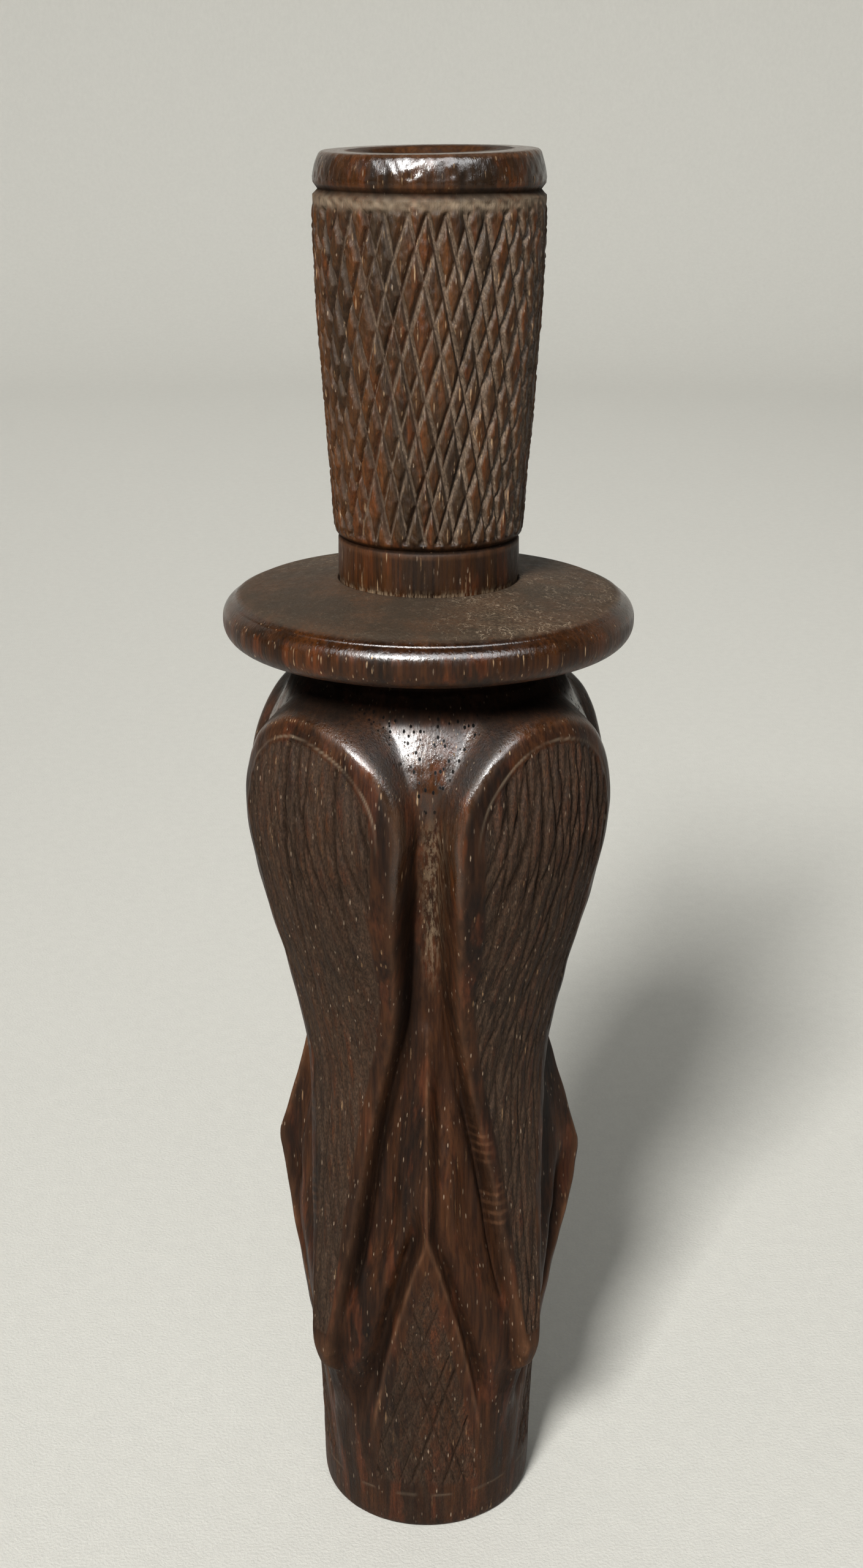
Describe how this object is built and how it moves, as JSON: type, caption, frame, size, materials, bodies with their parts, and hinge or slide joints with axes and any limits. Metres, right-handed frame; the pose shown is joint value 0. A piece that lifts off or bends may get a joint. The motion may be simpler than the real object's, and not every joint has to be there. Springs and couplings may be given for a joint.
{
  "type": "reed game call",
  "caption": "Carved wooden reed game call: flanged barrel with arched checkered panels and crested ribs, and a pull-out checkered stopper that holds a brass reed on a tone trough.",
  "frame": {"origin": "centre of the flat ring of the mouth end, on the surface that the call stands on", "axes": "+Z along the bore from the mouth end up to the bell, -Y towards the rib that faces the front, +X to the right seen from the front"},
  "size_m": [0.0434, 0.0434, 0.155],
  "materials": {
    "barrel_wood": "dark reddish-brown hardwood, hand carved, worn satin oil finish",
    "stopper_wood": "dark reddish-brown hardwood, checkered by hand, worn",
    "insert_wood": "plain dark hardwood, smooth, unpolished",
    "wedge_wood": "plain lighter hardwood, unpolished",
    "reed_brass": "rolled brass strip, slightly tarnished"
  },
  "bodies": {
    "barrel": {"barrel": "barrel_wood"},
    "stopper": {"stopper": "stopper_wood"},
    "tone_trough": {"tone_trough": "insert_wood"},
    "wedge_block": {"wedge_block": "wedge_wood"},
    "reed": {"reed": "reed_brass"}
  },
  "joints": [
    {"name": "stopper_pull", "type": "slide", "parent": "barrel", "child": "stopper", "axis": [0, 0, 1], "range_m": [0, 0.071]},
    {"name": "trough_draw", "type": "slide", "parent": "stopper", "child": "tone_trough", "axis": [0, 0, -1], "range_m": [0, 0.024]},
    {"name": "wedge_draw", "type": "slide", "parent": "tone_trough", "child": "wedge_block", "axis": [0, 0, -1], "range_m": [0, 0.024]},
    {"name": "reed_flex", "type": "hinge", "parent": "tone_trough", "child": "reed", "pos_m": [0, -0.00013, 0.081], "axis": [1, 0, 0], "range_deg": [0, 2.2], "stiffness_Nm_per_rad": 0.05, "deforming": ["reed"]}
  ]
}
